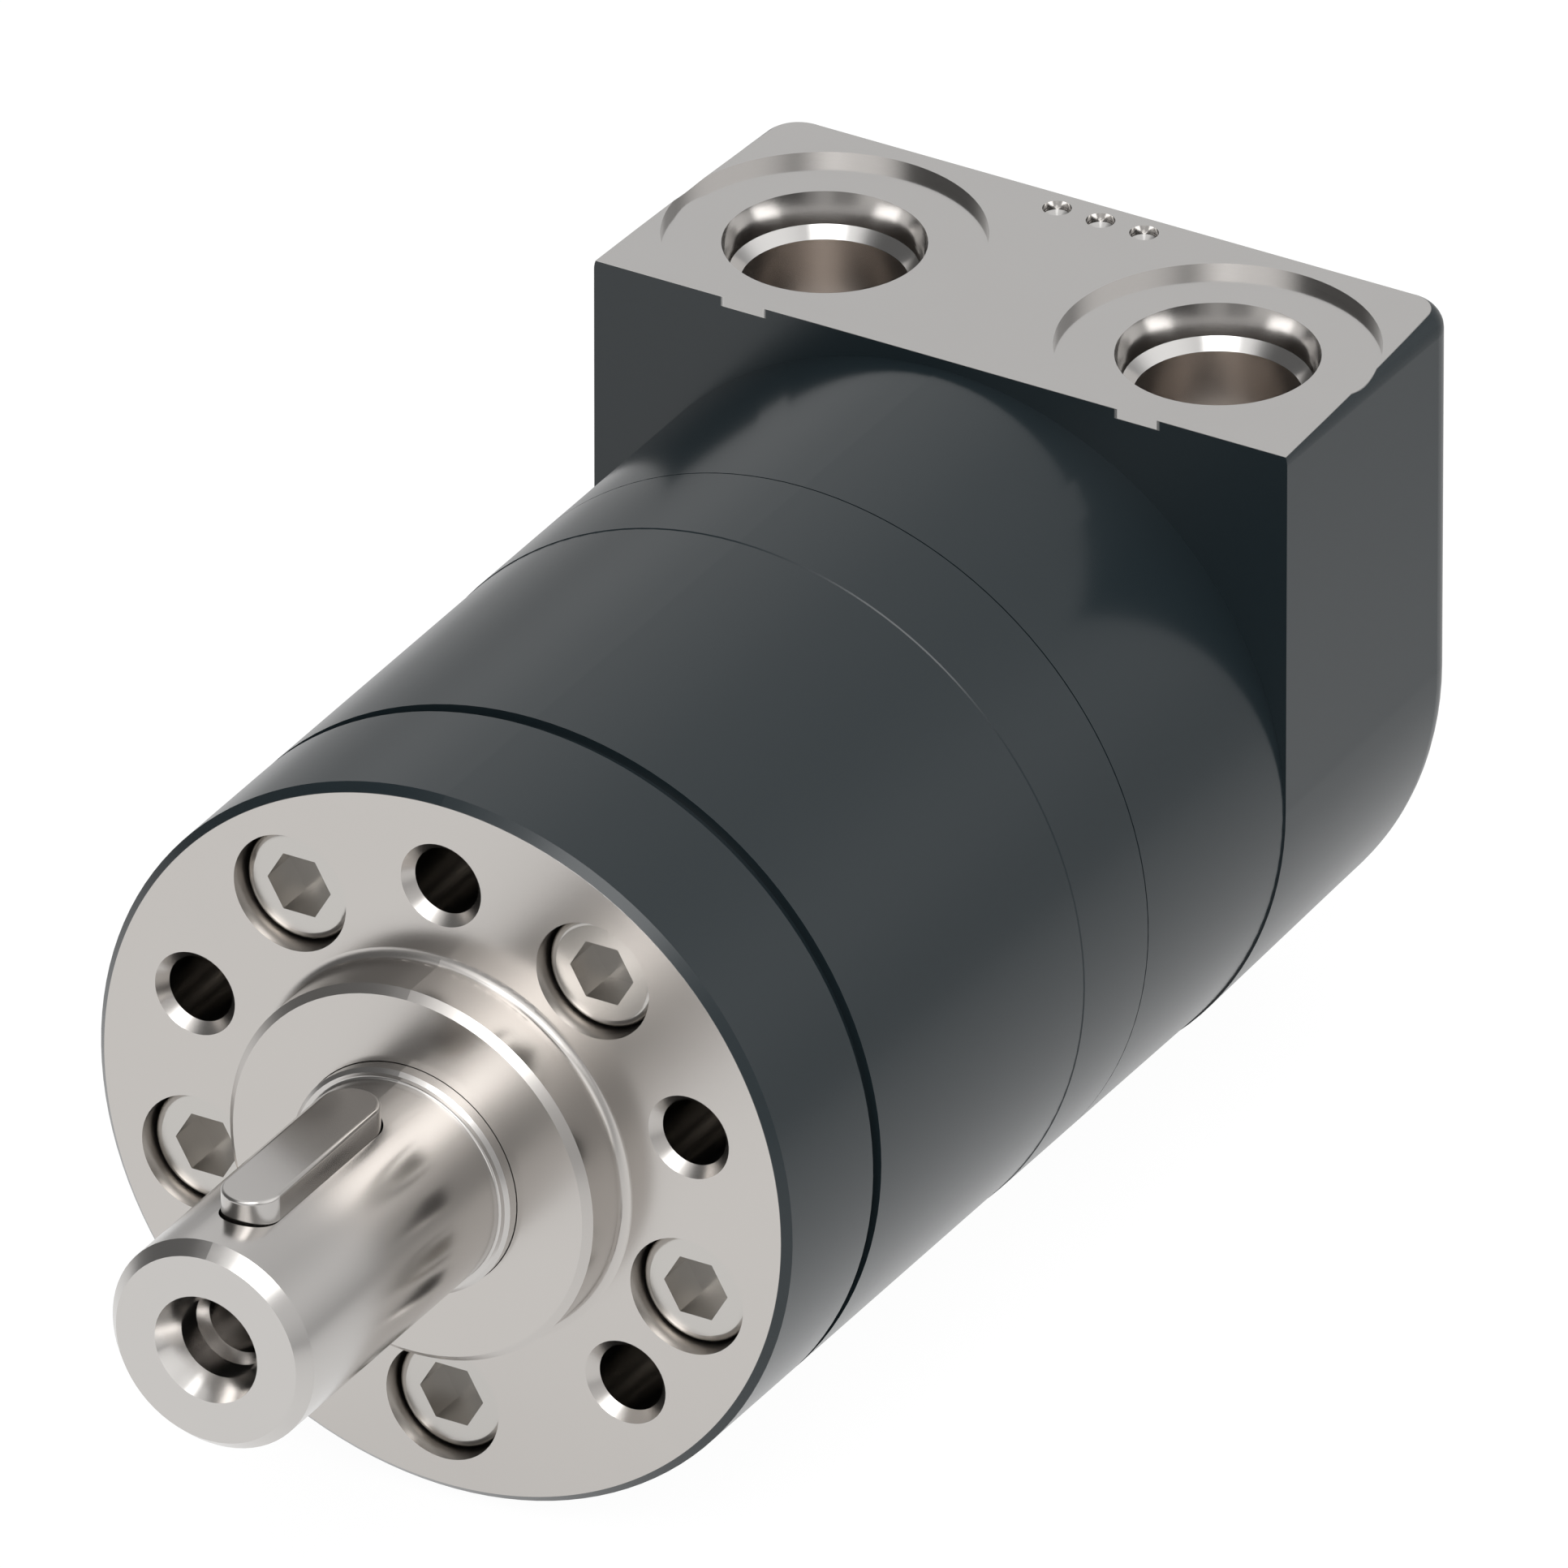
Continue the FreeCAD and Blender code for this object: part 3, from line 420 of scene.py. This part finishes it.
room = panel(room, "pale wall behind", round_to_right=180, up=30, inner=10, outer=27,
             brightness=0.70)
room = panel(room, "window on the right", round_to_right=70, up=28, inner=8, outer=50,
             brightness=1.3)
room = panel(room, "black flag on the left", round_to_right=-98, up=22, inner=18, outer=50,
             brightness=0)
room = panel(room, "wide front lamp", round_to_right=-20, up=38, inner=6, outer=38,
             brightness=1.6)
room = panel(room, "bright front lamp", round_to_right=-5, up=51, inner=10, outer=22,
             brightness=4.4)
room = panel(room, "small lamp overhead", round_to_right=0, up=79, inner=3, outer=12,
             brightness=3.0)

# %% [markdown]
# ## The background
# The camera sees plain white behind the motor. Metal could mirror that same white all round, but then
# it would show no lamp and no flag, so it gets a share of it over the painted room.

# %% Background
WHITE_IN_METAL = 0.15
path = add(tree, "LightPath").outputs
seen = add(tree, "Math", {0: path["Is Camera Ray"], 1: path["Is Transmission Ray"]},
           operation="MAXIMUM")
glossy = add(tree, "Math", {0: path["Is Glossy Ray"], 1: WHITE_IN_METAL}, operation="MULTIPLY")
white_share = add(tree, "Math", {0: seen.outputs[0], 1: glossy.outputs[0]}, operation="MAXIMUM")
strength = add(tree, "Mix", {"Factor": white_share.outputs[0], "A": room, "B": 1.0})
sky = add(tree, "Background", {"Color": (1, 1, 1, 1), "Strength": strength.outputs[0]})
add(tree, "OutputWorld", {"Surface": sky.outputs[0]})
print("share of white in the metal", WHITE_IN_METAL)

# %% [markdown]
# ## The floor
# A flat sheet just under the motor's lowest point, wide enough to fill the picture in views from
# above and to show in the metal.

# %% Floor
FLOOR_SIZE, FLOOR_MIDDLE_Y, FLOOR_GAP = 1.6, 0.04, 0.2 * MM
floor_height = cad_box[0].z - FLOOR_GAP
half = FLOOR_SIZE / 2
mesh = bpy.data.meshes.new("floor")
mesh.from_pydata([(-half, -half, 0), (half, -half, 0), (half, half, 0), (-half, half, 0)],
                 [], [(0, 1, 2, 3)])
floor = bpy.data.objects.new("floor", mesh)
bpy.context.scene.collection.objects.link(floor)
floor.location = (0, FLOOR_MIDDLE_Y, floor_height)
print("floor at", round(floor_height / MM, 2), "mm")

# %% [markdown]
# ## The floor's paper
# White paper. To the camera it is a plain white, the colour of the background. In the metal it glows
# white near the motor and greyer further off, a painted pool of light like a sheet under one studio
# lamp. A small part of it is matt, which keeps the motor's shadow, and to all other light it is matt
# paper only.

# %% Paper
PAPER = "#EDEDED"
PAPER_WHITE, GLOW_SHARE = 1.04, 0.93
# A painted pool of light: the floor's glow as the metal sees it, bright near the motor.
POOL_NEAR, POOL_FAR = 1.0, 0.46
POOL_X, POOL_Y, POOL_INNER, POOL_OUTER = -0.04, -0.075, 0.055, 0.34
paper = bpy.data.materials.new("white_paper_floor")
paper.use_nodes = True
tree = paper.node_tree
tree.nodes.clear()
path = add(tree, "LightPath").outputs
seen = add(tree, "Math", {0: path["Is Camera Ray"], 1: path["Is Glossy Ray"]}, operation="MAXIMUM")
seen = add(tree, "Math", {0: seen.outputs[0], 1: path["Is Transmission Ray"]}, operation="MAXIMUM")
share = add(tree, "Math", {0: seen.outputs[0], 1: GLOW_SHARE}, operation="MULTIPLY")
here = add(tree, "NewGeometry").outputs["Position"]
away = add(tree, "VectorMath", {0: here, 1: (POOL_X, POOL_Y, floor_height)}, operation="DISTANCE")
pool = add(tree, "MapRange", {"Value": away.outputs["Value"], "From Min": POOL_INNER,
                              "From Max": POOL_OUTER, "To Min": POOL_NEAR, "To Max": POOL_FAR})
glow = add(tree, "Mix", {"Factor": path["Is Glossy Ray"], "A": PAPER_WHITE, "B": pool.outputs[0]})
matt = add(tree, "BsdfDiffuse", {"Color": linear(PAPER)})
white = add(tree, "Emission", {"Color": (1, 1, 1, 1), "Strength": glow.outputs[0]})
mixed = add(tree, "MixShader", {0: share.outputs[0], 1: matt.outputs[0], 2: white.outputs[0]})
add(tree, "OutputMaterial", {"Surface": mixed.outputs[0]})
mesh.materials.append(paper)
print("white of the floor in the metal", POOL_NEAR, "near and", POOL_FAR, "far")

# %% [markdown]
# ## Finish
# The view transform is Standard, so a colour renders about as it is written.

# %% View
bpy.context.scene.view_settings.view_transform = "Standard"
